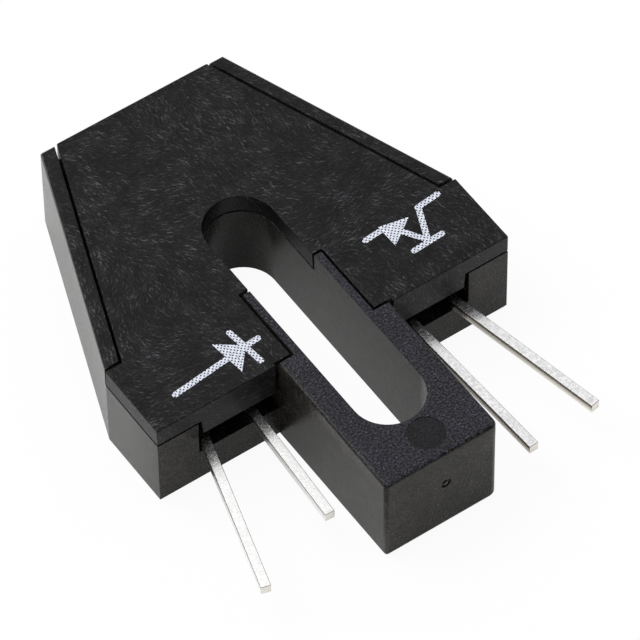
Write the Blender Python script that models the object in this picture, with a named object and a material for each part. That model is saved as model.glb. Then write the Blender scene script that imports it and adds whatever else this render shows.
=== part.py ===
"""Slotted optical switch: an infrared lamp and a phototransistor face each other across a long slot.

A moulded base carries both, with a tongue that reaches forward between the two pairs of leads.
A flat cover closes the base between two raised wall strips.
Metres, +Z up, +Y from the tongue towards the narrow back.
The origin is the middle of the whole part's box, on its bottom face.
"""

import math

import bmesh
import bpy

# Base, seen from above: straight sides, then tapered sides to a narrow back
BODY_WIDTH = 0.01936
BODY_LENGTH = 0.0165
BODY_HEIGHT = 0.0053
SIDE_LENGTH = 0.00417
BACK_WIDTH = 0.0102
FLOOR = 0.00105
WALL = 0.0010
FRONT_WALL = 0.0008
EDGE_ROUND = 0.00018

# Tongue, with the slot that runs on into the body
TONGUE_WIDTH = 0.0062
TONGUE_REACH = 0.0084
TONGUE_CORNER = 0.0004
SLOT_WIDTH = 0.00356
SLOT_END_WALL = 0.0025
SLOT_REACH = 0.0093
SLOT_WALL = 0.0010

# Raised strips of the base that show beside the cover
SIDE_STRIP = 0.00072
SLOT_STRIP = 0.0004
SLOT_STRIP_LENGTH = 0.0042
TONGUE_STEP = 0.00005

# Cover plate, and the skirts that close the front above the leads
COVER = 0.00105
COVER_GAP = 0.00013
SEAM = 0.00008
SKIRT_DRAFT = 0.00012
NOTCH_END_WALL = 0.00221
ROOM_UNDER_LEAD = 0.000235
ROOM_OVER_LEAD = 0.000495

# Lamp and phototransistor packages, alike outside
PACKAGE_LENGTH = 0.0046
PACKAGE_CORNER = 0.0003
LENS_RIM = 0.0004
LENS_SUNK = 0.00035
LENS_SETBACK = 0.0022
REST_GAP = 0.0001
MOULD_GAP = 0.0001
CRADLE_RIB = 0.0006
CRADLE_HEIGHT = 0.0020
ROOM_BESIDE_CRADLE = 0.00055

# Square tinned leads, and what they carry inside a package
LEAD = 0.00049
LEAD_INSET = 0.00075
LEAD_DROP = 0.0001
PADDLE_PAST_CHIP = 0.0003
POST_SETBACK = 0.0012
LAMP_CHIP = 0.00035
PHOTO_CHIP = 0.0006
CHIP_THICKNESS = 0.00025
WIRE = 0.00008
WIRE_BOW = 0.0004

# How far each lead reaches in front of the arm, and how far it leans outwards at the arm and at its tip
LAMP_CATHODE = {"reach": 0.0066, "lean": 0.00011, "tip_lean": 0.0005}
LAMP_ANODE = {"reach": 0.00827, "lean": 0.00045, "tip_lean": 0.00282}
PHOTO_COLLECTOR = {"reach": 0.00879, "lean": 0, "tip_lean": 0.00042}
PHOTO_EMITTER = {"reach": 0.00851, "lean": 0.00003, "tip_lean": 0.00177}

# How finely round shapes are drawn, and how far a cutter runs past what it cuts
ARC_STEPS = 6
SLOT_STEPS = 20
RIM_STEPS = 2
WIRE_STEPS = 2
LENS_STEPS = 24
PAST = 0.0005

# Worked out from the sizes above
HALF_WIDTH = BODY_WIDTH / 2
HALF_BACK = BACK_WIDTH / 2
HALF_TONGUE = TONGUE_WIDTH / 2
HALF_SLOT = SLOT_WIDTH / 2
TAPER_SLOPE = (HALF_WIDTH - HALF_BACK) / (BODY_LENGTH - SIDE_LENGTH)
TAPER_COS = 1 / math.hypot(1, TAPER_SLOPE)
STRIP_EDGE = HALF_SLOT + SLOT_STRIP
COVER_BOTTOM = BODY_HEIGHT - COVER
LEDGE = COVER_BOTTOM - SEAM
PACKAGE_BOTTOM = FLOOR + REST_GAP
PACKAGE_TOP = COVER_BOTTOM - REST_GAP
LEAD_HEIGHT = (PACKAGE_BOTTOM + PACKAGE_TOP) / 2 - LEAD_DROP
NOTCH_SILL = LEAD_HEIGHT - LEAD / 2 - ROOM_UNDER_LEAD
NOTCH_REACH = HALF_WIDTH - NOTCH_END_WALL
SKIRT_BOTTOM = LEAD_HEIGHT + LEAD / 2 + ROOM_OVER_LEAD
SKIRT_REACH = NOTCH_REACH - COVER_GAP
LENS_RADIUS = (PACKAGE_TOP - PACKAGE_BOTTOM) / 2 - LENS_RIM
LENS_TIP = HALF_SLOT + SLOT_WALL + REST_GAP
PACKAGE_NEAR = LENS_TIP + LENS_RADIUS - LENS_SUNK
PACKAGE_FAR = HALF_WIDTH - WALL - ROOM_BESIDE_CRADLE - CRADLE_RIB - REST_GAP
PACKAGE_MIDDLE = (PACKAGE_NEAR + PACKAGE_FAR) / 2
PACKAGE_FRONT = FRONT_WALL + REST_GAP
PACKAGE_BACK = PACKAGE_FRONT + PACKAGE_LENGTH
LENS_Y = PACKAGE_FRONT + LENS_SETBACK
INNER_LANE = PACKAGE_NEAR + LEAD_INSET
OUTER_LANE = PACKAGE_FAR - LEAD_INSET
CHIP_FOOT = INNER_LANE - LEAD / 2 - SEAM
CHIP_FACE = CHIP_FOOT - CHIP_THICKNESS
POST_Y = LENS_Y + POST_SETBACK


def clear_scene():
    for obj in list(bpy.data.objects):
        bpy.data.objects.remove(obj, do_unlink=True)


def material(name, colour, roughness, metallic=0.0):
    made = bpy.data.materials.new(name)
    made.use_nodes = True
    shader = made.node_tree.nodes["Principled BSDF"]
    shader.inputs["Base Color"].default_value = (*colour, 1.0)
    shader.inputs["Roughness"].default_value = roughness
    shader.inputs["Metallic"].default_value = metallic
    made.diffuse_color = (*colour, 1.0)
    return made


def add_object(name, mesh, finish):
    obj = bpy.data.objects.new(name, mesh)
    bpy.context.scene.collection.objects.link(obj)
    if finish:
        mesh.materials.append(finish)
    return obj


def prism(name, outline, low, high, finish=None):
    """An upright block over an outline of (x, y) points that runs anticlockwise."""
    mesh = bpy.data.meshes.new(name)
    shape = bmesh.new()
    bottom = shape.faces.new([shape.verts.new((x, y, low)) for x, y in outline])
    top = bmesh.ops.extrude_face_region(shape, geom=[bottom])["geom"]
    raised = [item for item in top if isinstance(item, bmesh.types.BMVert)]
    bmesh.ops.translate(shape, verts=raised, vec=(0, 0, high - low))
    bmesh.ops.recalc_face_normals(shape, faces=shape.faces)
    shape.to_mesh(mesh)
    shape.free()
    return add_object(name, mesh, finish)


def round_rims(obj, radius):
    """Rounds the edges all round the block's top and bottom faces."""
    shape = bmesh.new()
    shape.from_mesh(obj.data)
    rims = [edge for edge in shape.edges if abs(edge.verts[0].co.z - edge.verts[1].co.z) < radius / 2]
    bmesh.ops.bevel(shape, geom=rims, offset=radius, affect="EDGES", segments=RIM_STEPS,
                    profile=0.5, material=-1)
    shape.to_mesh(obj.data)
    shape.free()


def as_tool(obj):
    obj.hide_render = True
    obj.display_type = "WIRE"
    return obj


def combine(obj, operation, tool):
    step = obj.modifiers.new(f"{operation.lower()} {tool.name}", "BOOLEAN")
    step.operation = operation
    step.solver = "EXACT"
    step.object = as_tool(tool)


def cut(obj, tool):
    combine(obj, "DIFFERENCE", tool)


def join(obj, tool):
    combine(obj, "UNION", tool)


def rectangle(x_low, y_low, x_high, y_high):
    return [(x_low, y_low), (x_high, y_low), (x_high, y_high), (x_low, y_high)]


def arc(centre, radius, start, end, steps):
    """Points on an arc from the start angle to the end angle, in degrees."""
    angles = [math.radians(start + (end - start) * step / steps) for step in range(steps + 1)]
    return [(centre[0] + radius * math.cos(a), centre[1] + radius * math.sin(a)) for a in angles]


def rounded_rectangle(x_low, y_low, x_high, y_high, radius):
    corners = [(x_high, y_low, -90), (x_high, y_high, 0), (x_low, y_high, 90), (x_low, y_low, 180)]
    outline = []
    for x, y, start in corners:
        centre = (x - math.copysign(radius, x - (x_low + x_high) / 2),
                  y - math.copysign(radius, y - (y_low + y_high) / 2))
        outline += arc(centre, radius, start, start + 90, ARC_STEPS)
    return outline


def mirrored(outline):
    """The outline on the other side of the middle, still anticlockwise."""
    return [(-x, y) for x, y in reversed(outline)]


def both_sides(right_half):
    """A whole outline from its right half, which starts at the front."""
    return right_half + mirrored(right_half)


def taper_x(y, inset):
    """How far out the tapered side is at y, moved inwards by an inset."""
    return HALF_WIDTH - (y - SIDE_LENGTH) * TAPER_SLOPE - inset / TAPER_COS


def taper_start(inset):
    """Where the straight side and the tapered side meet, both moved inwards."""
    return SIDE_LENGTH - inset * (1 / TAPER_COS - 1) / TAPER_SLOPE


def base_outline():
    tongue_corner = (HALF_TONGUE - TONGUE_CORNER, TONGUE_CORNER - TONGUE_REACH)
    right = arc(tongue_corner, TONGUE_CORNER, -90, 0, ARC_STEPS)
    right += [(HALF_TONGUE, 0), (HALF_WIDTH, 0), (HALF_WIDTH, SIDE_LENGTH), (HALF_BACK, BODY_LENGTH)]
    return both_sides(right)


def slot_outline():
    back = arc((0, SLOT_REACH - HALF_SLOT), HALF_SLOT, 0, 180, SLOT_STEPS)
    front = arc((0, SLOT_END_WALL + HALF_SLOT - TONGUE_REACH), HALF_SLOT, 180, 360, SLOT_STEPS)
    return back + front


def cover_recess_outline():
    """The base stays below this outline: all but the tongue and the raised strips."""
    y_past = BODY_LENGTH + PAST
    strip_front = SIDE_LENGTH + COVER_GAP
    right = [
        (STRIP_EDGE, SLOT_STRIP_LENGTH),
        (STRIP_EDGE, TONGUE_STEP),
        (HALF_TONGUE, TONGUE_STEP),
        (HALF_TONGUE, -PAST),
        (HALF_WIDTH + PAST, -PAST),
        (HALF_WIDTH + PAST, strip_front),
        (taper_x(strip_front, SIDE_STRIP), strip_front),
        (taper_x(y_past, SIDE_STRIP), y_past),
    ]
    return both_sides(right)


def compartment_outline():
    """The hollow around the slot's wall that holds both packages."""
    round_the_slot = HALF_SLOT + SLOT_WALL
    y_back = BODY_LENGTH - WALL
    right = [
        (round_the_slot, FRONT_WALL),
        (HALF_WIDTH - WALL, FRONT_WALL),
        (HALF_WIDTH - WALL, taper_start(WALL)),
        (taper_x(y_back, WALL), y_back),
    ]
    slot_side = arc((0, SLOT_REACH - HALF_SLOT), round_the_slot, 180, 0, SLOT_STEPS)
    return both_sides(right) + slot_side


def cradle_outline():
    """A rib outside the package and one behind it, in one L shape."""
    x_rib = PACKAGE_FAR + REST_GAP
    y_rib = PACKAGE_BACK + REST_GAP
    into_wall = SLOT_WALL / 2
    return [
        (x_rib, FRONT_WALL / 2),
        (x_rib + CRADLE_RIB, FRONT_WALL / 2),
        (x_rib + CRADLE_RIB, y_rib + CRADLE_RIB),
        (HALF_SLOT + into_wall, y_rib + CRADLE_RIB),
        (HALF_SLOT + into_wall, y_rib),
        (x_rib, y_rib),
    ]


def make_base(finish):
    base = prism("base_housing", base_outline(), 0, BODY_HEIGHT, finish)
    round_rims(base, EDGE_ROUND)
    top = BODY_HEIGHT + PAST
    cut(base, prism("cover_recess", cover_recess_outline(), LEDGE, top))
    cut(base, prism("compartment", compartment_outline(), FLOOR, top))
    cut(base, prism("slot_hole", slot_outline(), -PAST, top))
    notch = rectangle(HALF_TONGUE, -PAST, NOTCH_REACH, FRONT_WALL + PAST)
    for side, outline in (("right", notch), ("left", mirrored(notch))):
        cut(base, prism(f"lead_notch_{side}", outline, NOTCH_SILL, top))
    for side, outline in (("right", cradle_outline()), ("left", mirrored(cradle_outline()))):
        join(base, prism(f"cradle_{side}", outline, FLOOR / 2, FLOOR + CRADLE_HEIGHT))
    return base


def cover_outline():
    strip_side = STRIP_EDGE + COVER_GAP
    strip_end = SLOT_STRIP_LENGTH + COVER_GAP
    tongue_side = HALF_TONGUE + COVER_GAP
    edge_inset = SIDE_STRIP + COVER_GAP
    right = [
        (HALF_SLOT, strip_end),
        (strip_side, strip_end),
        (strip_side, TONGUE_STEP + COVER_GAP),
        (tongue_side, TONGUE_STEP + COVER_GAP),
        (tongue_side, 0),
        (HALF_WIDTH, 0),
        (HALF_WIDTH, SIDE_LENGTH),
        (taper_x(SIDE_LENGTH, edge_inset), SIDE_LENGTH),
        (taper_x(BODY_LENGTH, edge_inset), BODY_LENGTH),
    ]
    slot_rim = arc((0, SLOT_REACH - HALF_SLOT), HALF_SLOT, 180, 0, SLOT_STEPS)
    return both_sides(right) + slot_rim


def make_skirt(side):
    """The front wall that hangs from the cover above one pair of leads, a little narrower at its foot."""
    near = HALF_TONGUE + COVER_GAP
    outline = rectangle(near, 0, SKIRT_REACH, FRONT_WALL)
    skirt = prism(f"skirt_{side}", outline if side == "right" else mirrored(outline),
                  SKIRT_BOTTOM, COVER_BOTTOM + COVER / 2)
    for vertex in skirt.data.vertices:
        if vertex.co.z < COVER_BOTTOM and abs(vertex.co.x) > PACKAGE_MIDDLE:
            vertex.co.x -= math.copysign(SKIRT_DRAFT, vertex.co.x)
    return skirt


def make_cover(finish):
    cover = prism("top_cover", cover_outline(), COVER_BOTTOM, BODY_HEIGHT, finish)
    join(cover, make_skirt("right"))
    join(cover, make_skirt("left"))
    return cover


def ribbon(path, width):
    """The outline of a strip of even width along a path of (x, y) points."""
    half = width / 2
    sides = ([], [])
    for index, (x, y) in enumerate(path):
        before = path[max(index - 1, 0)]
        after = path[min(index + 1, len(path) - 1)]
        run_in = math.atan2(y - before[1], x - before[0]) if index else None
        run_out = math.atan2(after[1] - y, after[0] - x) if index < len(path) - 1 else None
        first = run_out if run_in is None else run_in
        last = run_in if run_out is None else run_out
        across = (first + last) / 2 + math.pi / 2
        reach = half / math.cos((last - first) / 2)
        sides[0].append((x - reach * math.cos(across), y - reach * math.sin(across)))
        sides[1].append((x + reach * math.cos(across), y + reach * math.sin(across)))
    return sides[0] + sides[1][::-1]


def outer_run(lead, lane):
    """The stretch of a lead from its package to its free end, handled a little out of true."""
    return [(lane, PACKAGE_FRONT), (lane + lead["lean"], 0), (lane + lead["tip_lean"], -lead["reach"])]


def lead_outline(path, side, grow=0.0):
    """The lead's outline on its own side; grow makes the room that its package leaves for it."""
    outline = ribbon(path, LEAD + 2 * grow)
    return mirrored(outline) if side == "left" else outline


def mount_path(chip):
    """Inside the package: the inner lead runs straight on behind the chip."""
    return [(INNER_LANE, LENS_Y + chip / 2 + PADDLE_PAST_CHIP)]


def post_path():
    """Inside the package: the outer lead turns towards the slot behind the inner one."""
    return [(INNER_LANE, POST_Y), (OUTER_LANE, POST_Y)]


def lead_slab(name, outline, finish=None, grow=0.0):
    half = LEAD / 2 + grow
    return prism(name, outline, LEAD_HEIGHT - half, LEAD_HEIGHT + half, finish)


def chip_block(name, side, size, finish=None, grow=0.0):
    half = size / 2 + grow
    outline = rectangle(CHIP_FACE - grow, LENS_Y - half, CHIP_FOOT + grow, LENS_Y + half)
    if side == "left":
        outline = mirrored(outline)
    return prism(name, outline, LEAD_HEIGHT - half, LEAD_HEIGHT + half, finish)


def wire_path(side):
    """The bond wire bows towards the slot, from the chip's face to the post's end."""
    start = (CHIP_FACE - SEAM, LENS_Y)
    end = (INNER_LANE - SEAM, POST_Y)
    points = []
    for step in range(ARC_STEPS + 1):
        along = step / ARC_STEPS
        bow = WIRE_BOW * math.sin(math.pi * along)
        x = start[0] + (end[0] - start[0]) * along - bow
        y = start[1] + (end[1] - start[1]) * along
        points.append((-x if side == "left" else x, y, LEAD_HEIGHT))
    return points


def tube(name, points, width, finish=None):
    curve = bpy.data.curves.new(name, "CURVE")
    curve.dimensions = "3D"
    curve.bevel_depth = width / 2
    curve.bevel_resolution = WIRE_STEPS
    curve.use_fill_caps = True
    line = curve.splines.new("POLY")
    line.points.add(len(points) - 1)
    for point, place in zip(line.points, points):
        point.co = (*place, 1.0)
    return add_object(name, curve, finish)


def wire_room(name, side):
    """A block of room in the package around the bowed wire."""
    path = [(abs(x), y) for x, y, _ in wire_path(side)]
    path.append((INNER_LANE + LEAD / 2, POST_Y))
    outline = ribbon(path, WIRE + 2 * MOULD_GAP)
    if side == "left":
        outline = mirrored(outline)
    half = WIRE / 2 + MOULD_GAP
    return prism(name, outline, LEAD_HEIGHT - half, LEAD_HEIGHT + half)


def lens(name, side):
    mesh = bpy.data.meshes.new(name)
    shape = bmesh.new()
    bmesh.ops.create_uvsphere(shape, u_segments=LENS_STEPS, v_segments=LENS_STEPS // 2, radius=LENS_RADIUS)
    x = LENS_TIP + LENS_RADIUS
    place = (-x if side == "left" else x, LENS_Y, LEAD_HEIGHT)
    bmesh.ops.translate(shape, verts=shape.verts, vec=place)
    shape.to_mesh(mesh)
    shape.free()
    return add_object(name, mesh, None)


def make_package(name, side, inner, outer, chip, finish):
    """A moulded block with a lens towards the slot, moulded round its lead frame."""
    outline = rounded_rectangle(PACKAGE_NEAR, PACKAGE_FRONT, PACKAGE_FAR, PACKAGE_BACK, PACKAGE_CORNER)
    if side == "left":
        outline = mirrored(outline)
    body = prism(name, outline, PACKAGE_BOTTOM, PACKAGE_TOP, finish)
    join(body, lens(f"{name}_lens", side))
    for lead, path in (("inner", inner), ("outer", outer)):
        room = lead_outline(path, side, MOULD_GAP)
        cut(body, lead_slab(f"{name}_{lead}_lead_room", room, None, MOULD_GAP))
    cut(body, chip_block(f"{name}_chip_room", side, chip, None, MOULD_GAP))
    cut(body, wire_room(f"{name}_wire_room", side))
    return body


def make_device(kind, side, leads, chip, finishes):
    """One package with its two leads, its chip and its bond wire."""
    inner_name, inner, outer_name, outer = leads
    inner_path = mount_path(chip) + outer_run(inner, INNER_LANE)
    outer_path = post_path() + outer_run(outer, OUTER_LANE)
    make_package(f"{kind}_body", side, inner_path, outer_path, chip, finishes["body"])
    lead_slab(f"{kind}_{inner_name}_lead", lead_outline(inner_path, side), finishes["lead"])
    lead_slab(f"{kind}_{outer_name}_lead", lead_outline(outer_path, side), finishes["lead"])
    chip_block(f"{kind}_chip", side, chip, finishes["chip"])
    tube(f"{kind}_bond_wire", wire_path(side), WIRE, finishes["wire"])


def centre_on_box():
    """Moves the whole part so that the middle of its box, on the bottom face, is the origin."""
    leads = (LAMP_CATHODE, LAMP_ANODE, PHOTO_COLLECTOR, PHOTO_EMITTER)
    front = max([TONGUE_REACH] + [lead["reach"] for lead in leads])
    root = bpy.data.objects.new("part_origin", None)
    bpy.context.scene.collection.objects.link(root)
    root.location = (0, (front - BODY_LENGTH) / 2, 0)
    for obj in list(bpy.context.scene.collection.objects):
        if obj != root:
            obj.parent = root


def main():
    clear_scene()
    base_plastic = material("base_filled_plastic", (0.022, 0.022, 0.023), 0.5)
    cover_plastic = material("cover_filled_plastic", (0.020, 0.020, 0.021), 0.5)
    dark_epoxy = material("dark_infrared_epoxy", (0.012, 0.010, 0.014), 0.2)
    clear_epoxy = material("tinted_lamp_epoxy", (0.05, 0.03, 0.07), 0.15)
    tin = material("tinned_copper", (0.80, 0.80, 0.79), 0.3, 1.0)
    semiconductor = material("semiconductor", (0.10, 0.10, 0.12), 0.25, 0.6)
    gold = material("gold_wire", (0.83, 0.58, 0.22), 0.25, 1.0)

    make_base(base_plastic)
    make_cover(cover_plastic)
    common = {"lead": tin, "chip": semiconductor, "wire": gold}
    make_device("lamp", "left", ("cathode", LAMP_CATHODE, "anode", LAMP_ANODE),
                LAMP_CHIP, {**common, "body": clear_epoxy})
    make_device("phototransistor", "right", ("collector", PHOTO_COLLECTOR, "emitter", PHOTO_EMITTER),
                PHOTO_CHIP, {**common, "body": dark_epoxy})
    centre_on_box()


main()
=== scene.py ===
"""Looks of the slotted optical switch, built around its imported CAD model.

The two housing mouldings and the leads are softened copies of their CAD solids.
The printed circuit symbols, the moulding marks and the materials are added here.
"""

import math

import bmesh
import bpy
from mathutils import Matrix, Vector


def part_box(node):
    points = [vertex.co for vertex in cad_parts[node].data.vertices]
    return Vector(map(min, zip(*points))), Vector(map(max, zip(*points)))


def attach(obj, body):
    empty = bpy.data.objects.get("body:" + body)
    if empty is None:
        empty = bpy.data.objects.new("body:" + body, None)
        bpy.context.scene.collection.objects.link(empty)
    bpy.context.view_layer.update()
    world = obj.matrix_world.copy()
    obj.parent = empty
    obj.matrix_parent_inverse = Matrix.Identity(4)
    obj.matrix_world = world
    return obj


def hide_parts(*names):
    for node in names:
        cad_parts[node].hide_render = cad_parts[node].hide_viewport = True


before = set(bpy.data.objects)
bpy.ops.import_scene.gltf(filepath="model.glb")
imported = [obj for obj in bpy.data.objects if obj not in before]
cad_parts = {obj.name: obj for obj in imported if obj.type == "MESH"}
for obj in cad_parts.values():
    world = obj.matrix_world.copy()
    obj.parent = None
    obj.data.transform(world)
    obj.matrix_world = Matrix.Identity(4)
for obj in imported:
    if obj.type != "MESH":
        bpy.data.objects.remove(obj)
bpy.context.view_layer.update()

MM = 0.001

# Camera that took the photograph, seen from the tongue's left
CAMERA_PLACE = (-0.095785, -0.143941, 0.226535)
CAMERA_AZIMUTH = -34.1407
CAMERA_ELEVATION = 52.3865
CAMERA_ROLL = -0.8375
CAMERA_LENS = 347.21
CAMERA_CLIP = (0.01, 10)

# Where the model's main faces are
ARM_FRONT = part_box("top_cover")[0].y
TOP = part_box("top_cover")[1].z
TONGUE_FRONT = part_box("base_housing")[0].y
LEAD_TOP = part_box("lamp_anode_lead")[1].z
LEAD_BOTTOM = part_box("lamp_anode_lead")[0].z

# Slot, cut again with finer ends than the CAD's
SLOT_RADIUS = 1.783 * MM
SLOT_BACK = 7.52 * MM
SLOT_FRONT = -4.12 * MM
SLOT_STEPS = 96

# Rounded edges, and how sharp and how long an edge has to be to get one. On the base they come out
# narrower, because the short facets of its rims limit them.
MOULD_EDGE = 0.045 * MM
COVER_EDGE = 0.05 * MM
LEAD_EDGE = 0.03 * MM
FLAT_ANGLE = math.radians(1)
SHARP_ANGLE = math.radians(50)
SHORTEST_SOFT_EDGE = 0.1 * MM
MERGE = 0.0005 * MM
SHADING_WEIGHT = 80

# Moulding marks, the tongue's left corner, and where the level faces change their finish
PIN_MARK_RADIUS = 0.9 * MM
PIN_MARK_DEPTH = 0.03 * MM
PIN_MARK_FROM_ARM = 6.95 * MM
PIN_MARK_X = 0.14 * MM
PIN_MARK_STEPS = 48
GATE_RADIUS = 0.27 * MM
GATE_DEPTH = 0.07 * MM
GATE_STUB = 0.12 * MM
GATE_HEIGHT = 3.05 * MM
GATE_X = 0.2 * MM
GATE_STEPS = 32
GATE_STUB_STEPS = 16
TONGUE_LEFT = -3.1 * MM
CORNER_ROUND = 0.4 * MM
CRISP_ROUND = 0.2 * MM
RIM_FROM = 4.0 * MM
FACES_UP = 0.9
TOP_SLOT, PIN_SLOT, RIM_SLOT = 1, 2, 3

# Pad-printed symbols, in millimetres from the middle and from the arms' front
INK = 0.01 * MM
INK_TOP = 0.9 * INK
STROKE = 0.30
ROUND_END_STEPS = 6
INK_PIT_PITCH = 0.152
INK_PIT_RADIUS = 0.044
INK_PIT_SIDES = 6
INK_PIT_MARGIN = 0.5
DIODE_LINE = ((-7.84, 1.27), (-4.61, 1.61))
DIODE_TRIANGLE = ((-4.91, 2.68), (-4.66, 0.60), (-3.67, 1.75))
DIODE_BAR = ((-3.88, 2.76), (-3.61, 0.64))
DIODE_STUB = ((-3.76, 1.71), (-3.00, 1.77))
EMITTER_LEAD = ((4.19, 3.56), (5.40, 3.66))
ARROWHEAD = ((5.11, 3.86), (5.15, 2.53), (6.61, 3.55))
EMITTER_LINE = ((5.80, 3.13), (6.53, 2.00))
BASE_BAR = ((5.67, 1.80), (7.29, 1.89))
COLLECTOR = ((6.57, 2.00), (7.29, 3.75))
COLLECTOR_LEAD = ((7.27, 3.77), (8.47, 3.89))

# Glass-filled plastic, in millimetres: each layer of fibres has a cell and a fibre width. Real fibres are
# 0.2 to 0.4 long and 0.012 thick, and the mould's grain is about 0.04, so both are drawn coarser to show.
# A fibre's spread is its turn off the flow in radians, and its bow and its reaches are shares of its cell.
FIBRE_LAYERS = ((0.30, 0.030), (0.42, 0.032), (0.36, 0.028), (0.52, 0.030))
STREAK_CELLS = (0.9, 1.4)
FIBRE_SPREAD = 1.1
FIBRE_BOW = 0.22
FIBRE_HALF = 0.52
FIBRE_FULL = 0.2
FIBRE_CONTRAST = 1.2
LAYER_SHIFT = 7.3
SWIRL = 8.0
SWIRL_TURN = 7.0
STREAK_WIDTH = 0.045
STREAK_RATIO = 9.0
STREAK_NOISE = (0.42, 0.75)
STREAK_FADE = (0.7, 0.25)
GRAIN = 0.1
PATCH = 2.2
PATCH_NOISE = (0.3, 0.7)
PATCH_LEAST = 0.6
GLINT_CELL = 1.2
GLINT_RADIUS = 0.04
GLINT_RARITY = 5.0
MATRIX_LEVEL = 0.15
ROUGHNESS_SPREAD = 0.25
LEVEL_SLOPE = 0.7
RELIEF = 0.012 * MM
PLASTIC_IOR = 1.25

# Black plastics: tones from the bare matrix to a full fibre, then the strengths of fibres, streaks, grain
# and glints, then the roughness
BASE_WALLS = (((0.0, "#0a0909"), (0.15, "#201e1b"), (0.5, "#3c3a36"), (1.0, "#6c6964")),
              (0.3, 0.25, 1.2, 0.2), 0.18)
BASE_TOP = (((0.0, "#08080b"), (0.15, "#202025"), (0.4, "#3e3d47"), (1.0, "#8c8b96")),
            (0.1, 0.1, 1.8, 0.4), 0.32)
PIN_DISC = (((0.0, "#060607"), (0.15, "#141416"), (0.4, "#29292d"), (1.0, "#6c6c74")),
            (0.1, 0.1, 0.8, 0.2), 0.28)
COVER_TOP = (((0.0, "#010101"), (0.15, "#050505"), (0.5, "#1f1f21"), (1.0, "#55555a")),
             (0.65, 0.36, 1.1, 0.9), 0.32)

# Tinned strip: the dullest and the brightest tone of its faces, and the tones down its sheared sides, which
# are painted shade: darker under the upper edge for the dark surroundings they reflect
# Both pairs of leads are the same tin: the sensor's copy is painted greyer with darker sides, painted shade
# for less light on them
LIT_TIN_COPY = ("#f0f0ee", "#ffffff",
              ((0.18, "#b4b0a8"), (0.35, "#e4e2de"), (0.6, "#ffffff"), (1.0, "#ffffff")))
SHADED_TIN_COPY = ("#d4d4d5", "#f6f6f6",
               ((0.18, "#3b352a"), (0.42, "#6f685c"), (0.6, "#c4bdb2"), (1.0, "#f4eee6")))
# Rounded edges of the leads painted dark, a painted reflection of the dark housing: the slopes it covers and
# its tone
PAINTED_EDGE_BAND = ((0.1, "#000000"), (0.3, "#ffffff"), (0.9, "#ffffff"), (0.98, "#000000"))
PAINTED_EDGE_REFLECTION = "#5a5448"
TIN_CUT_END = "#e6e2da"
TIN_FACE_SLOPE = 0.6
TIN_END_SLOPE = 0.75
TIN_UNEVEN = 0.3
TIN_BUMP = 0.35

# The other patterns, in millimetres. Tin crystals are about 0.02 wide, and the die's saw marks and the
# wire's draw marks under 0.01, so they are drawn coarser to show.
TIN_CLOUD = 0.13
TIN_CRYSTAL = 0.08
TIN_RELIEF = 0.01 * MM
INK_MOTTLE = 0.12
EPOXY_HAZE = 0.8
DRAW_MARKS = 0.05
SAW_MARKS = 0.04

# Roughness: its spread and its least where a pattern varies it
TIN_ROUGHNESS = (0.25, 0.12)
EPOXY_ROUGHNESS = (0.2, 0.12)
WIRE_ROUGHNESS = (0.2, 0.2)
DIE_ROUGHNESS = 0.2
INK_ROUGHNESS = 0.55

# Stage
FLOOR_SIZE = 0.6
FLOOR_DROP = 0.002 * MM
SHADOW_SHARE = 0.06
FLOOR_IN_GLOSS = 0.4
SOFTBOX_WAY = (0.33, 0.50, 0.80)
SOFTBOX_RIM = (0.62, 0.86)
SOFTBOX_LIGHT = 0.95
TENT_LIGHT = 0.3
KEY_PLACE = (-0.15, 0.15, 0.38)
KEY_SIZE = 0.3
KEY_POWER = 1.2

MATH = "ShaderNodeMath"
VECTOR_MATH = "ShaderNodeVectorMath"


def linear(hex_colour):
    """An sRGB hex colour as the linear values that shaders take."""
    channels = [int(hex_colour[i:i + 2], 16) / 255 for i in (1, 3, 5)]
    return [c / 12.92 if c <= 0.04045 else ((c + 0.055) / 1.055) ** 2.4 for c in channels] + [1.0]


def add(tree, kind, inputs, stops=(), **settings):
    """Adds one node with its settings, its ramp's stops, and its inputs filled or linked.

    An input that is a node takes that node's first output.
    """
    made = tree.nodes.new(kind)
    for key, value in settings.items():
        setattr(made, key, value)
    for index, (place, colour) in enumerate(stops):
        element = made.color_ramp.elements[index] if index < 2 else made.color_ramp.elements.new(place)
        element.position = place
        element.color = linear(colour)
    for socket, value in inputs.items():
        if isinstance(value, bpy.types.Node):
            value = value.outputs[0]
        if isinstance(value, bpy.types.NodeSocket):
            tree.links.new(value, made.inputs[socket])
        else:
            made.inputs[socket].default_value = value
    return made


def new_material(name):
    """A material with its node tree and its shader."""
    made = bpy.data.materials.new(name)
    made.use_nodes = True
    return made, made.node_tree, made.node_tree.nodes["Principled BSDF"]


def face_plane(tree):
    """Flat coordinates on the surface: x and y on level faces, along the wall and z on walls."""
    place = add(tree, "ShaderNodeTexCoord", {}).outputs["Object"]
    at = add(tree, "ShaderNodeSeparateXYZ", {0: place}).outputs
    facing = add(tree, "ShaderNodeNewGeometry", {}).outputs["True Normal"]
    turn = add(tree, "ShaderNodeSeparateXYZ", {0: facing}).outputs
    steep = add(tree, MATH, {0: turn["Z"]}, operation="ABSOLUTE")
    level = add(tree, MATH, {0: steep, 1: LEVEL_SLOPE}, operation="GREATER_THAN")
    along = add(tree, MATH, {0: at["X"], 1: at["Y"]}, operation="SUBTRACT")
    wall = add(tree, "ShaderNodeCombineXYZ", {"X": along, "Y": at["Z"]})
    flat = add(tree, "ShaderNodeCombineXYZ", {"X": at["X"], "Y": at["Y"]})
    chosen = add(tree, "ShaderNodeMix", {0: level, 4: wall, 5: flat}, data_type="VECTOR")
    return place, chosen.outputs[1]


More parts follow.
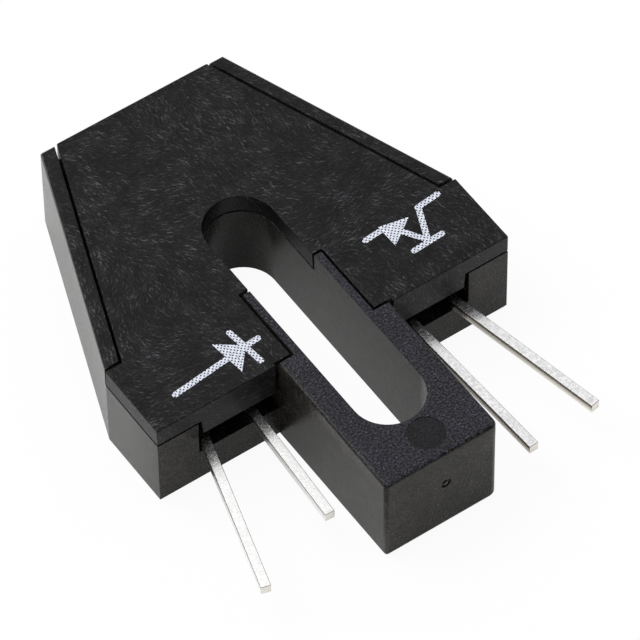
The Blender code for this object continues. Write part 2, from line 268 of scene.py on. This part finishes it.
def cell_frame(tree, plane, cell, flow, spread):
    """Random cells: the point seen from its cell's middle and turned along the flow, and random values."""
    cells = add(tree, "ShaderNodeTexVoronoi", {"Vector": plane, "Scale": 1 / (cell * MM)},
                voronoi_dimensions="2D")
    off = add(tree, VECTOR_MATH, {0: plane, 1: cells.outputs["Position"]}, operation="SUBTRACT")
    random = add(tree, "ShaderNodeSeparateColor", {0: cells.outputs["Color"]}).outputs
    turn = add(tree, MATH, {0: random["Red"], 1: spread, 2: flow}, operation="MULTIPLY_ADD")
    local = add(tree, "ShaderNodeVectorRotate", {"Vector": off, "Angle": turn}, rotation_type="Z_AXIS")
    return local, random


def fibre_layer(tree, plane, flow, cell, width):
    """Short bowed glass fibres, one to a cell, that lie roughly along the local flow."""
    local, random = cell_frame(tree, plane, cell, flow, FIBRE_SPREAD)
    at = add(tree, "ShaderNodeSeparateXYZ", {0: local}).outputs
    square = add(tree, MATH, {0: at["X"], 1: at["X"]}, operation="MULTIPLY")
    bowed = add(tree, MATH, {0: square, 1: -FIBRE_BOW / (cell * MM), 2: at["Y"]}, operation="MULTIPLY_ADD")
    aside = add(tree, MATH, {0: bowed}, operation="ABSOLUTE")
    line = add(tree, "ShaderNodeMapRange", {"Value": aside, "From Min": width * MM, "From Max": 0})
    reach = add(tree, MATH, {0: at["X"]}, operation="ABSOLUTE")
    ends = add(tree, "ShaderNodeMapRange", {"Value": reach, "From Min": FIBRE_HALF * cell * MM,
                                           "From Max": FIBRE_FULL * cell * MM})
    shape = add(tree, MATH, {0: line, 1: ends}, operation="MULTIPLY")
    strength = add(tree, MATH, {0: random["Green"], 1: FIBRE_CONTRAST}, operation="POWER")
    return add(tree, MATH, {0: shape, 1: strength}, operation="MULTIPLY")


def streak_layer(tree, plane, flow, cell):
    """Patches of fine parallel lines, where many fibres lie side by side, that fade out at their rims."""
    local, random = cell_frame(tree, plane, cell, flow, FIBRE_SPREAD)
    across = 1 / (STREAK_WIDTH * MM)
    drawn = add(tree, "ShaderNodeMapping", {"Vector": local, "Scale": (across / STREAK_RATIO, across, 1)})
    lifted = add(tree, VECTOR_MATH, {0: drawn, 1: random["Blue"]}, operation="ADD")
    noise = add(tree, "ShaderNodeTexNoise", {"Vector": lifted, "Scale": 1.0, "Detail": 1.0})
    lines = add(tree, "ShaderNodeMapRange", {"Value": noise, "From Min": STREAK_NOISE[0],
                                            "From Max": STREAK_NOISE[1]})
    reach = add(tree, VECTOR_MATH, {0: local}, operation="LENGTH").outputs["Value"]
    fade = add(tree, "ShaderNodeMapRange", {"Value": reach, "From Min": STREAK_FADE[0] * cell * MM,
                                           "From Max": STREAK_FADE[1] * cell * MM})
    return add(tree, MATH, {0: lines, 1: fade}, operation="MULTIPLY")


def fibres(tree, plane, fibre_gain, streak_gain):
    """Layers of single fibres and of streaks over each other, in a flow that swirls over millimetres."""
    swirl = add(tree, "ShaderNodeTexNoise", {"Vector": plane, "Scale": 1 / (SWIRL * MM), "Detail": 1.0})
    flow = add(tree, MATH, {0: swirl, 1: SWIRL_TURN}, operation="MULTIPLY")
    total = 0.0
    for index, (cell, width) in enumerate(FIBRE_LAYERS):
        shift = (index + 1) * LAYER_SHIFT * MM
        moved = add(tree, VECTOR_MATH, {0: plane, 1: (shift, shift / 3, 0)}, operation="ADD")
        layer = fibre_layer(tree, moved, flow, cell, width)
        total = add(tree, MATH, {0: layer, 1: fibre_gain, 2: total}, operation="MULTIPLY_ADD")
    for index, cell in enumerate(STREAK_CELLS):
        shift = (index + 1) * LAYER_SHIFT * MM
        moved = add(tree, VECTOR_MATH, {0: plane, 1: (shift / 3, -shift, 0)}, operation="ADD")
        layer = streak_layer(tree, moved, flow, cell)
        total = add(tree, MATH, {0: layer, 1: streak_gain, 2: total}, operation="MULTIPLY_ADD")
    return total


def glints(tree, plane):
    """Single fibre ends and dust that catch the light: a few bright points."""
    cells = add(tree, "ShaderNodeTexVoronoi", {"Vector": plane, "Scale": 1 / (GLINT_CELL * MM)},
                voronoi_dimensions="2D")
    near = add(tree, "ShaderNodeMapRange", {"Value": cells.outputs["Distance"],
                                           "From Min": GLINT_RADIUS / GLINT_CELL, "From Max": 0})
    random = add(tree, "ShaderNodeSeparateColor", {0: cells.outputs["Color"]}).outputs["Red"]
    chance = add(tree, MATH, {0: random, 1: GLINT_RARITY}, operation="POWER")
    return add(tree, MATH, {0: near, 1: chance}, operation="MULTIPLY")


def filled_plastic(name, tones, gains, roughness):
    """Black glass-filled thermoplastic, moulded in a spark-eroded tool.

    Short glass fibres lie just under the skin and show as pale swirling flecks over a fine grain.
    """
    fibre_gain, streak_gain, grain_gain, glint_gain = gains
    made, tree, shader = new_material(name)
    place, plane = face_plane(tree)
    grain = add(tree, "ShaderNodeTexNoise", {"Vector": place, "Scale": 1 / (GRAIN * MM), "Detail": 3.0,
                                            "Roughness": 0.65})
    centred = add(tree, MATH, {0: grain, 1: 0.5}, operation="SUBTRACT")
    patches = add(tree, "ShaderNodeTexNoise", {"Vector": place, "Scale": 1 / (PATCH * MM), "Detail": 2.0})
    share = add(tree, "ShaderNodeMapRange", {"Value": patches, "From Min": PATCH_NOISE[0],
                                            "From Max": PATCH_NOISE[1], "To Min": PATCH_LEAST,
                                            "To Max": 1.0})
    lying = fibres(tree, plane, fibre_gain, streak_gain)
    patched = add(tree, MATH, {0: lying, 1: share}, operation="MULTIPLY")
    relief = add(tree, MATH, {0: centred, 1: grain_gain, 2: patched}, operation="MULTIPLY_ADD")
    bright = add(tree, MATH, {0: glints(tree, plane), 1: glint_gain, 2: relief}, operation="MULTIPLY_ADD")
    level = add(tree, MATH, {0: bright, 1: MATRIX_LEVEL}, operation="ADD")
    colour = add(tree, "ShaderNodeValToRGB", {"Fac": level}, tones)
    rough = add(tree, MATH, {0: centred, 1: ROUGHNESS_SPREAD, 2: roughness}, operation="MULTIPLY_ADD")
    bump = add(tree, "ShaderNodeBump", {"Height": relief, "Strength": 1.0, "Distance": RELIEF})
    tree.links.new(colour.outputs[0], shader.inputs["Base Color"])
    tree.links.new(rough.outputs[0], shader.inputs["Roughness"])
    tree.links.new(bump.outputs[0], shader.inputs["Normal"])
    shader.inputs["IOR"].default_value = PLASTIC_IOR
    return made


def tinned_strip(name, dull, bright, sheared):
    """Hot-tinned copper alloy, stamped from strip.

    Its faces are bright and finely crystalline, from dull to bright. Its sheared sides are painted darker
    under the upper edge and paler below, and its rounded edges are painted dark: painted shade for the dark
    housing and surroundings that they reflect.
    """
    made, tree, shader = new_material(name)
    place = add(tree, "ShaderNodeTexCoord", {}).outputs["Object"]
    facing = add(tree, "ShaderNodeNewGeometry", {}).outputs["True Normal"]
    turn = add(tree, "ShaderNodeSeparateXYZ", {0: facing}).outputs
    upward = add(tree, MATH, {0: turn["Z"]}, operation="ABSOLUTE")
    endward = add(tree, MATH, {0: add(tree, MATH, {0: turn["Y"]}, operation="ABSOLUTE"), 1: TIN_END_SLOPE},
                  operation="GREATER_THAN")
    cloud = add(tree, "ShaderNodeTexNoise", {"Vector": place, "Scale": 1 / (TIN_CLOUD * MM), "Detail": 4.0})
    crystals = add(tree, "ShaderNodeTexVoronoi", {"Vector": place, "Scale": 1 / (TIN_CRYSTAL * MM)})
    crystal = add(tree, "ShaderNodeSeparateColor", {0: crystals.outputs["Color"]}).outputs["Red"]
    mixed = add(tree, MATH, {0: crystal, 1: TIN_UNEVEN, 2: cloud}, operation="MULTIPLY_ADD")
    face = add(tree, "ShaderNodeValToRGB", {"Fac": mixed}, ((0.4, dull), (0.85, bright)))
    height = add(tree, "ShaderNodeSeparateXYZ", {0: place}).outputs["Z"]
    depth = add(tree, "ShaderNodeMapRange", {"Value": height, "From Min": LEAD_TOP,
                                            "From Max": LEAD_BOTTOM})
    # Sides painted darker under the upper edge and paler below: painted shade for the dark surroundings they
    # reflect
    uneven = add(tree, MATH, {0: cloud, 1: TIN_UNEVEN, 2: depth}, operation="MULTIPLY_ADD")
    side = add(tree, "ShaderNodeValToRGB", {"Fac": uneven}, sheared)
    # Rounded edges painted dark: a painted reflection of the dark housing and surroundings
    edge = add(tree, "ShaderNodeValToRGB", {"Fac": upward}, PAINTED_EDGE_BAND)
    level = add(tree, MATH, {0: upward, 1: TIN_FACE_SLOPE}, operation="GREATER_THAN")
    faces = add(tree, "ShaderNodeMix", {0: level, 6: side, 7: face}, data_type="RGBA").outputs[2]
    edged = add(tree, "ShaderNodeMix", {0: edge, 6: faces, 7: linear(PAINTED_EDGE_REFLECTION)},
                data_type="RGBA").outputs[2]
    ended = add(tree, "ShaderNodeMix", {0: endward, 6: edged, 7: linear(TIN_CUT_END)},
                data_type="RGBA").outputs[2]
    rough = add(tree, MATH, {0: cloud, 1: TIN_ROUGHNESS[0], 2: TIN_ROUGHNESS[1]}, operation="MULTIPLY_ADD")
    bump = add(tree, "ShaderNodeBump", {"Height": mixed, "Strength": TIN_BUMP, "Distance": TIN_RELIEF})
    tree.links.new(ended, shader.inputs["Base Color"])
    tree.links.new(rough.outputs[0], shader.inputs["Roughness"])
    tree.links.new(bump.outputs[0], shader.inputs["Normal"])
    shader.inputs["Metallic"].default_value = 1.0
    return made


def pad_ink():
    """White pad-printing ink: a thin matt film, a little blue."""
    made, tree, shader = new_material("white_pad_ink")
    place = add(tree, "ShaderNodeTexCoord", {}).outputs["Object"]
    film = add(tree, "ShaderNodeTexNoise", {"Vector": place, "Scale": 1 / (INK_MOTTLE * MM), "Detail": 3.0})
    colour = add(tree, "ShaderNodeValToRGB", {"Fac": film}, ((0.3, "#b4bccf"), (0.62, "#eef1fb")))
    tree.links.new(colour.outputs[0], shader.inputs["Base Color"])
    shader.inputs["Roughness"].default_value = INK_ROUGHNESS
    return made


def cast_epoxy(name, tint):
    """Transfer-moulded epoxy package: smooth, with a faint release haze."""
    made, tree, shader = new_material(name)
    place = add(tree, "ShaderNodeTexCoord", {}).outputs["Object"]
    haze = add(tree, "ShaderNodeTexNoise", {"Vector": place, "Scale": 1 / (EPOXY_HAZE * MM), "Detail": 4.0})
    rough = add(tree, MATH, {0: haze, 1: EPOXY_ROUGHNESS[0], 2: EPOXY_ROUGHNESS[1]},
                operation="MULTIPLY_ADD")
    tree.links.new(rough.outputs[0], shader.inputs["Roughness"])
    shader.inputs["Base Color"].default_value = linear(tint)
    return made


def drawn_gold():
    """Drawn gold bond wire, softly bright."""
    made, tree, shader = new_material("drawn_gold_wire")
    place = add(tree, "ShaderNodeTexCoord", {}).outputs["Object"]
    drawn = add(tree, "ShaderNodeTexNoise", {"Vector": place, "Scale": 1 / (DRAW_MARKS * MM), "Detail": 2.0})
    rough = add(tree, MATH, {0: drawn, 1: WIRE_ROUGHNESS[0], 2: WIRE_ROUGHNESS[1]},
                operation="MULTIPLY_ADD")
    tree.links.new(rough.outputs[0], shader.inputs["Roughness"])
    shader.inputs["Base Color"].default_value = linear("#e8c06a")
    shader.inputs["Metallic"].default_value = 1.0
    return made


def polished_die():
    """Polished semiconductor die: dark and glassy, with faint saw marks."""
    made, tree, shader = new_material("polished_semiconductor_die")
    place = add(tree, "ShaderNodeTexCoord", {}).outputs["Object"]
    saw = add(tree, "ShaderNodeTexNoise", {"Vector": place, "Scale": 1 / (SAW_MARKS * MM), "Detail": 2.0})
    colour = add(tree, "ShaderNodeValToRGB", {"Fac": saw}, ((0.35, "#3a3a44"), (0.7, "#5a5a66")))
    tree.links.new(colour.outputs[0], shader.inputs["Base Color"])
    shader.inputs["Roughness"].default_value = DIE_ROUGHNESS
    return made


def add_piece(name, shape, finish, replaced=()):
    """Makes a piece of the object from a bmesh."""
    mesh = bpy.data.meshes.new(name)
    shape.to_mesh(mesh)
    shape.free()
    piece = bpy.data.objects.new(name, mesh)
    bpy.context.scene.collection.objects.link(piece)
    mesh.materials.append(finish)
    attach(piece, "root")
    if replaced:
        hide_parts(*replaced)
    return piece


def make_whole(shape):
    """Merges a shape's doubles and makes its flat faces whole again."""
    bmesh.ops.remove_doubles(shape, verts=shape.verts, dist=MERGE)
    bmesh.ops.dissolve_limit(shape, angle_limit=FLAT_ANGLE, verts=shape.verts, edges=shape.edges)
    return shape


def copy_of(node):
    """A bmesh of a CAD solid."""
    shape = bmesh.new()
    shape.from_mesh(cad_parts[node].data)
    return make_whole(shape)


def combine(shape, tool, operation):
    """Cuts or joins one bmesh with another, and gives the result."""
    parts = []
    for source in (shape, tool):
        mesh = bpy.data.meshes.new("work")
        source.to_mesh(mesh)
        source.free()
        parts.append(bpy.data.objects.new("work", mesh))
        bpy.context.scene.collection.objects.link(parts[-1])
    step = parts[0].modifiers.new("combine", "BOOLEAN")
    step.operation = operation
    step.solver = "EXACT"
    step.object = parts[1]
    done = bpy.data.meshes.new_from_object(parts[0].evaluated_get(bpy.context.evaluated_depsgraph_get()))
    result = bmesh.new()
    result.from_mesh(done)
    for part in parts:
        bpy.data.objects.remove(part, do_unlink=True)
    bpy.data.meshes.remove(done)
    return result


def soften(shape, width):
    """Rounds the sharp edges a little and lets every face shade smoothly."""
    sharp = [edge for edge in shape.edges if len(edge.link_faces) == 2
             and edge.calc_face_angle() > SHARP_ANGLE and edge.calc_length() > SHORTEST_SOFT_EDGE]
    bmesh.ops.bevel(shape, geom=sharp, offset=width, affect="EDGES", segments=2, profile=0.5,
                    material=-1, clamp_overlap=True)
    for face in shape.faces:
        face.smooth = True


def even_shading(piece):
    """Keeps broad faces flat and lets only the rounded edges turn the light."""
    step = piece.modifiers.new("even shading", "WEIGHTED_NORMAL")
    step.mode = "FACE_AREA"
    step.weight = SHADING_WEIGHT
    step.keep_sharp = True


def disc(radius, depth, matrix, steps):
    """A short cylinder around a frame's origin, its axis along z."""
    shape = bmesh.new()
    bmesh.ops.create_cone(shape, cap_ends=True, segments=steps, radius1=radius, radius2=radius,
                          depth=depth, matrix=matrix)
    return shape


def slot_reamer():
    """A long round-ended block that gives the slot smooth ends."""
    shape = bmesh.new()
    for y in (SLOT_BACK, SLOT_FRONT):
        place = Matrix.Translation((0, ARM_FRONT + y, TOP / 2))
        bmesh.ops.create_cone(shape, cap_ends=True, segments=SLOT_STEPS, radius1=SLOT_RADIUS,
                              radius2=SLOT_RADIUS, depth=2 * TOP, matrix=place)
    hull = bmesh.ops.convex_hull(shape, input=shape.verts)
    bmesh.ops.delete(shape, geom=hull["geom_interior"], context="VERTS")
    bmesh.ops.delete(shape, geom=[face for face in shape.faces if face not in hull["geom"]], context="FACES")
    return make_whole(shape)


def tighten_corner(shape):
    """Gives the tongue's front left corner a tighter round: it is crisper than the others."""
    centre = Vector((TONGUE_LEFT + CORNER_ROUND, TONGUE_FRONT + CORNER_ROUND))
    slip = CORNER_ROUND - CRISP_ROUND
    for vertex in shape.verts:
        off = vertex.co.xy - centre
        if off.x < MERGE and off.y < MERGE and off.length < CORNER_ROUND + MERGE:
            vertex.co.xy = centre - Vector((slip, slip)) + off.normalized() * (off.length - slip)


def pin_mark():
    """The shallow disc that the ejector pin pressed into the tongue's top."""
    place = Matrix.Translation((PIN_MARK_X, ARM_FRONT - PIN_MARK_FROM_ARM, TOP))
    return disc(PIN_MARK_RADIUS, 2 * PIN_MARK_DEPTH, place, PIN_MARK_STEPS)


def gate_mark():
    """A sunken ring around the stub where the moulding broke from its runner."""
    upright = Matrix.Rotation(math.radians(90), 4, "X")
    place = Matrix.Translation((GATE_X, TONGUE_FRONT, GATE_HEIGHT)) @ upright
    ring = disc(GATE_RADIUS, 2 * GATE_DEPTH, place, GATE_STEPS)
    return combine(ring, disc(GATE_STUB, 3 * GATE_DEPTH, place, GATE_STUB_STEPS), "DIFFERENCE")


def make_housing(walls, tops, pin, rims):
    """The base: smooth walls, a grained top around the slot, a pin mark in it, and rims beside the cover."""
    shape = copy_of("base_housing")
    soften(shape, MOULD_EDGE)
    tighten_corner(shape)
    shape = combine(shape, slot_reamer(), "DIFFERENCE")
    shape = combine(shape, pin_mark(), "DIFFERENCE")
    shape = combine(shape, gate_mark(), "DIFFERENCE")
    piece = add_piece("moulded_base", shape, walls, ["base_housing"])
    for finish in (tops, pin, rims):
        piece.data.materials.append(finish)
    for face in piece.data.polygons:
        if face.normal.z < FACES_UP:
            continue
        sunken = abs(face.center.z - TOP + PIN_MARK_DEPTH) < MERGE
        outer = abs(face.center.x) > RIM_FROM
        face.material_index = PIN_SLOT if sunken else RIM_SLOT if outer else TOP_SLOT
    even_shading(piece)


def make_cover(finish):
    """The cover, with its top lowered by the ink's thickness so that the symbols stay inside the CAD box."""
    shape = copy_of("top_cover")
    for vertex in shape.verts:
        if vertex.co.z > TOP - MERGE:
            vertex.co.z -= INK
    soften(shape, COVER_EDGE)
    shape = combine(shape, slot_reamer(), "DIFFERENCE")
    even_shading(add_piece("moulded_cover", shape, finish, ["top_cover"]))


def make_leads(lamp_finish, sensor_finish):
    """The four leads, with soft edges."""
    finishes = {
        "lamp_cathode_lead": lamp_finish,
        "lamp_anode_lead": lamp_finish,
        "phototransistor_collector_lead": sensor_finish,
        "phototransistor_emitter_lead": sensor_finish,
    }
    for node, finish in finishes.items():
        shape = copy_of(node)
        soften(shape, LEAD_EDGE)
        even_shading(add_piece(node.replace("_lead", "_wire_leg"), shape, finish, [node]))


def on_cover(x, y):
    """A point on the cover's top from millimetres off the middle and off the arms' front."""
    return Vector((x * MM, ARM_FRONT + y * MM, TOP - INK))


def plate(points):
    """A film of ink over a flat outline, set a little into the cover."""
    shape = bmesh.new()
    face = shape.faces.new([shape.verts.new(point - Vector((0, 0, INK))) for point in points])
    raised = bmesh.ops.extrude_face_region(shape, geom=[face])["geom"]
    lifted = [item for item in raised if isinstance(item, bmesh.types.BMVert)]
    bmesh.ops.translate(shape, verts=lifted, vec=(0, 0, INK + INK_TOP))
    bmesh.ops.recalc_face_normals(shape, faces=shape.faces)
    return shape


def stroke(line):
    """The outline of a printed line with round ends."""
    start, end = (Vector(point) for point in line)
    run = math.atan2(end.y - start.y, end.x - start.x)
    points = []
    for centre, facing in ((end, run), (start, run + math.pi)):
        for step in range(ROUND_END_STEPS + 1):
            angle = facing - math.pi / 2 + math.pi * step / ROUND_END_STEPS
            points.append(on_cover(centre.x + STROKE / 2 * math.cos(angle),
                                   centre.y + STROKE / 2 * math.sin(angle)))
    return points


def screen_pits(lines):
    """The dots of the printing screen, left bare over the symbol, in a grid set at 45 degrees."""
    xs = [point[0] for line in lines for point in line]
    ys = [point[1] for line in lines for point in line]
    shape = bmesh.new()
    step = INK_PIT_PITCH / math.sqrt(2)
    rows = int((max(ys) - min(ys) + 2 * INK_PIT_MARGIN) / step)
    columns = int((max(xs) - min(xs) + 2 * INK_PIT_MARGIN) / (2 * step))
    for row in range(rows):
        for column in range(columns):
            x = min(xs) - INK_PIT_MARGIN + (2 * column + row % 2) * step
            y = min(ys) - INK_PIT_MARGIN + row * step
            bmesh.ops.create_cone(shape, cap_ends=True, segments=INK_PIT_SIDES, radius1=INK_PIT_RADIUS * MM,
                                  radius2=INK_PIT_RADIUS * MM, depth=6 * INK,
                                  matrix=Matrix.Translation(on_cover(x, y)))
    return shape


def make_symbol(name, strokes, triangle, finish):
    """A printed symbol: its triangle and its strokes as one film of ink, with the screen's dots in it."""
    film = plate([on_cover(*point) for point in triangle])
    for line in strokes:
        film = combine(film, plate(stroke(line)), "UNION")
    film = combine(film, screen_pits(strokes + (triangle,)), "DIFFERENCE")
    return add_piece(name, film, finish)


def make_symbols(finish):
    """The diode on the lamp's side and the phototransistor on the other."""
    make_symbol("diode_symbol", (DIODE_LINE, DIODE_BAR, DIODE_STUB), DIODE_TRIANGLE, finish)
    make_symbol("phototransistor_symbol", (EMITTER_LEAD, EMITTER_LINE, BASE_BAR, COLLECTOR, COLLECTOR_LEAD),
                ARROWHEAD, finish)


def finish_hidden_nodes():
    """The pieces inside keep their CAD solids and get their own finishes."""
    die = polished_die()
    wire = drawn_gold()
    finishes = {
        "lamp_body": cast_epoxy("tinted_lamp_epoxy", "#3a2a44"),
        "phototransistor_body": cast_epoxy("dark_sensor_epoxy", "#18161c"),
        "lamp_chip": die,
        "phototransistor_chip": die,
        "lamp_bond_wire": wire,
        "phototransistor_bond_wire": wire,
    }
    for name, finish in finishes.items():
        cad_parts[name].material_slots[0].material = finish


def make_floor():
    """A white paper sweep: plain white to the camera, with a trace of the shadow.

    Reflections show it partly as that white and partly as it is lit, because the object shades the
    paper close to its own walls.
    """
    shape = bmesh.new()
    bmesh.ops.create_grid(shape, x_segments=1, y_segments=1, size=FLOOR_SIZE / 2,
                          matrix=Matrix.Translation((0, 0, -FLOOR_DROP)))
    mesh = bpy.data.meshes.new("floor")
    shape.to_mesh(mesh)
    shape.free()
    floor = bpy.data.objects.new("floor", mesh)
    bpy.context.scene.collection.objects.link(floor)
    made = bpy.data.materials.new("white_paper_sweep")
    made.use_nodes = True
    tree = made.node_tree
    tree.nodes.clear()
    path = add(tree, "ShaderNodeLightPath", {}).outputs
    through = add(tree, MATH, {0: path["Is Camera Ray"], 1: path["Is Transmission Ray"]},
                  operation="MAXIMUM")
    seen = add(tree, MATH, {0: path["Is Glossy Ray"], 1: FLOOR_IN_GLOSS, 2: through},
               operation="MULTIPLY_ADD")
    share = add(tree, MATH, {0: seen, 1: 1 - SHADOW_SHARE}, operation="MULTIPLY")
    paper = add(tree, "ShaderNodeBsdfDiffuse", {"Color": linear("#fbfbfb")})
    glow = add(tree, "ShaderNodeEmission", {"Color": linear("#ffffff"), "Strength": 1.0})
    mixed = add(tree, "ShaderNodeMixShader", {0: share, 1: paper, 2: glow})
    add(tree, "ShaderNodeOutputMaterial", {"Surface": mixed})
    mesh.materials.append(made)


def make_world():
    """A dim tent with a broad softbox above and behind the object; the camera sees it as plain white."""
    world = bpy.data.worlds.new("light_tent")
    bpy.context.scene.world = world
    world.use_nodes = True
    tree = world.node_tree
    background = tree.nodes["Background"]
    direction = add(tree, "ShaderNodeTexCoord", {}).outputs["Generated"]
    towards = Vector(SOFTBOX_WAY).normalized()
    nearness = add(tree, VECTOR_MATH, {0: direction, 1: towards}, operation="DOT_PRODUCT").outputs["Value"]
    light = add(tree, "ShaderNodeMapRange", {"Value": nearness, "From Min": SOFTBOX_RIM[0],
                                            "From Max": SOFTBOX_RIM[1], "To Min": TENT_LIGHT,
                                            "To Max": SOFTBOX_LIGHT})
    path = add(tree, "ShaderNodeLightPath", {}).outputs
    strength = add(tree, MATH, {0: path["Is Camera Ray"], 1: light}, operation="MAXIMUM")
    tree.links.new(strength.outputs[0], background.inputs["Strength"])
    background.inputs["Color"].default_value = linear("#ffffff")


def area_lamp(name, place, size, power):
    """A square softbox that faces the object."""
    lamp = bpy.data.lights.new(name, "AREA")
    lamp.shape = "SQUARE"
    lamp.size = size
    lamp.energy = power
    obj = bpy.data.objects.new(name, lamp)
    bpy.context.scene.collection.objects.link(obj)
    obj.location = place
    obj.rotation_mode = "QUATERNION"
    obj.rotation_quaternion = (-Vector(place)).to_track_quat("-Z", "Y")


def make_camera():
    """The camera that took the photograph."""
    azimuth, elevation = math.radians(CAMERA_AZIMUTH), math.radians(CAMERA_ELEVATION)
    forward = Vector((-math.sin(azimuth) * math.cos(elevation), math.cos(azimuth) * math.cos(elevation),
                      -math.sin(elevation)))
    data = bpy.data.cameras.new("camera")
    data.lens = CAMERA_LENS
    data.clip_start, data.clip_end = CAMERA_CLIP
    camera = bpy.data.objects.new("camera", data)
    bpy.context.scene.collection.objects.link(camera)
    camera.rotation_mode = "QUATERNION"
    level = forward.to_track_quat("-Z", "Y")
    camera.rotation_quaternion = level @ Matrix.Rotation(math.radians(CAMERA_ROLL), 4, "Z").to_quaternion()
    camera.location = CAMERA_PLACE
    bpy.context.scene.camera = camera


def main():
    make_camera()
    make_world()
    area_lamp("key_softbox", KEY_PLACE, KEY_SIZE, KEY_POWER)
    make_floor()
    cover_finish = filled_plastic("fibre_flecked_black_plastic", *COVER_TOP)
    make_housing(filled_plastic("tool_polished_black_plastic", *BASE_WALLS),
                 filled_plastic("spark_grained_black_plastic", *BASE_TOP),
                 filled_plastic("pin_pressed_black_plastic", *PIN_DISC),
                 cover_finish)
    make_cover(cover_finish)
    # The sensor's leads get the shaded copy of the tin: painted shade
    make_leads(tinned_strip("lit_copy_tinned_strip", *LIT_TIN_COPY),
               tinned_strip("shaded_copy_tinned_strip", *SHADED_TIN_COPY))
    make_symbols(pad_ink())
    finish_hidden_nodes()
    bpy.context.scene.view_settings.view_transform = "Standard"


main()
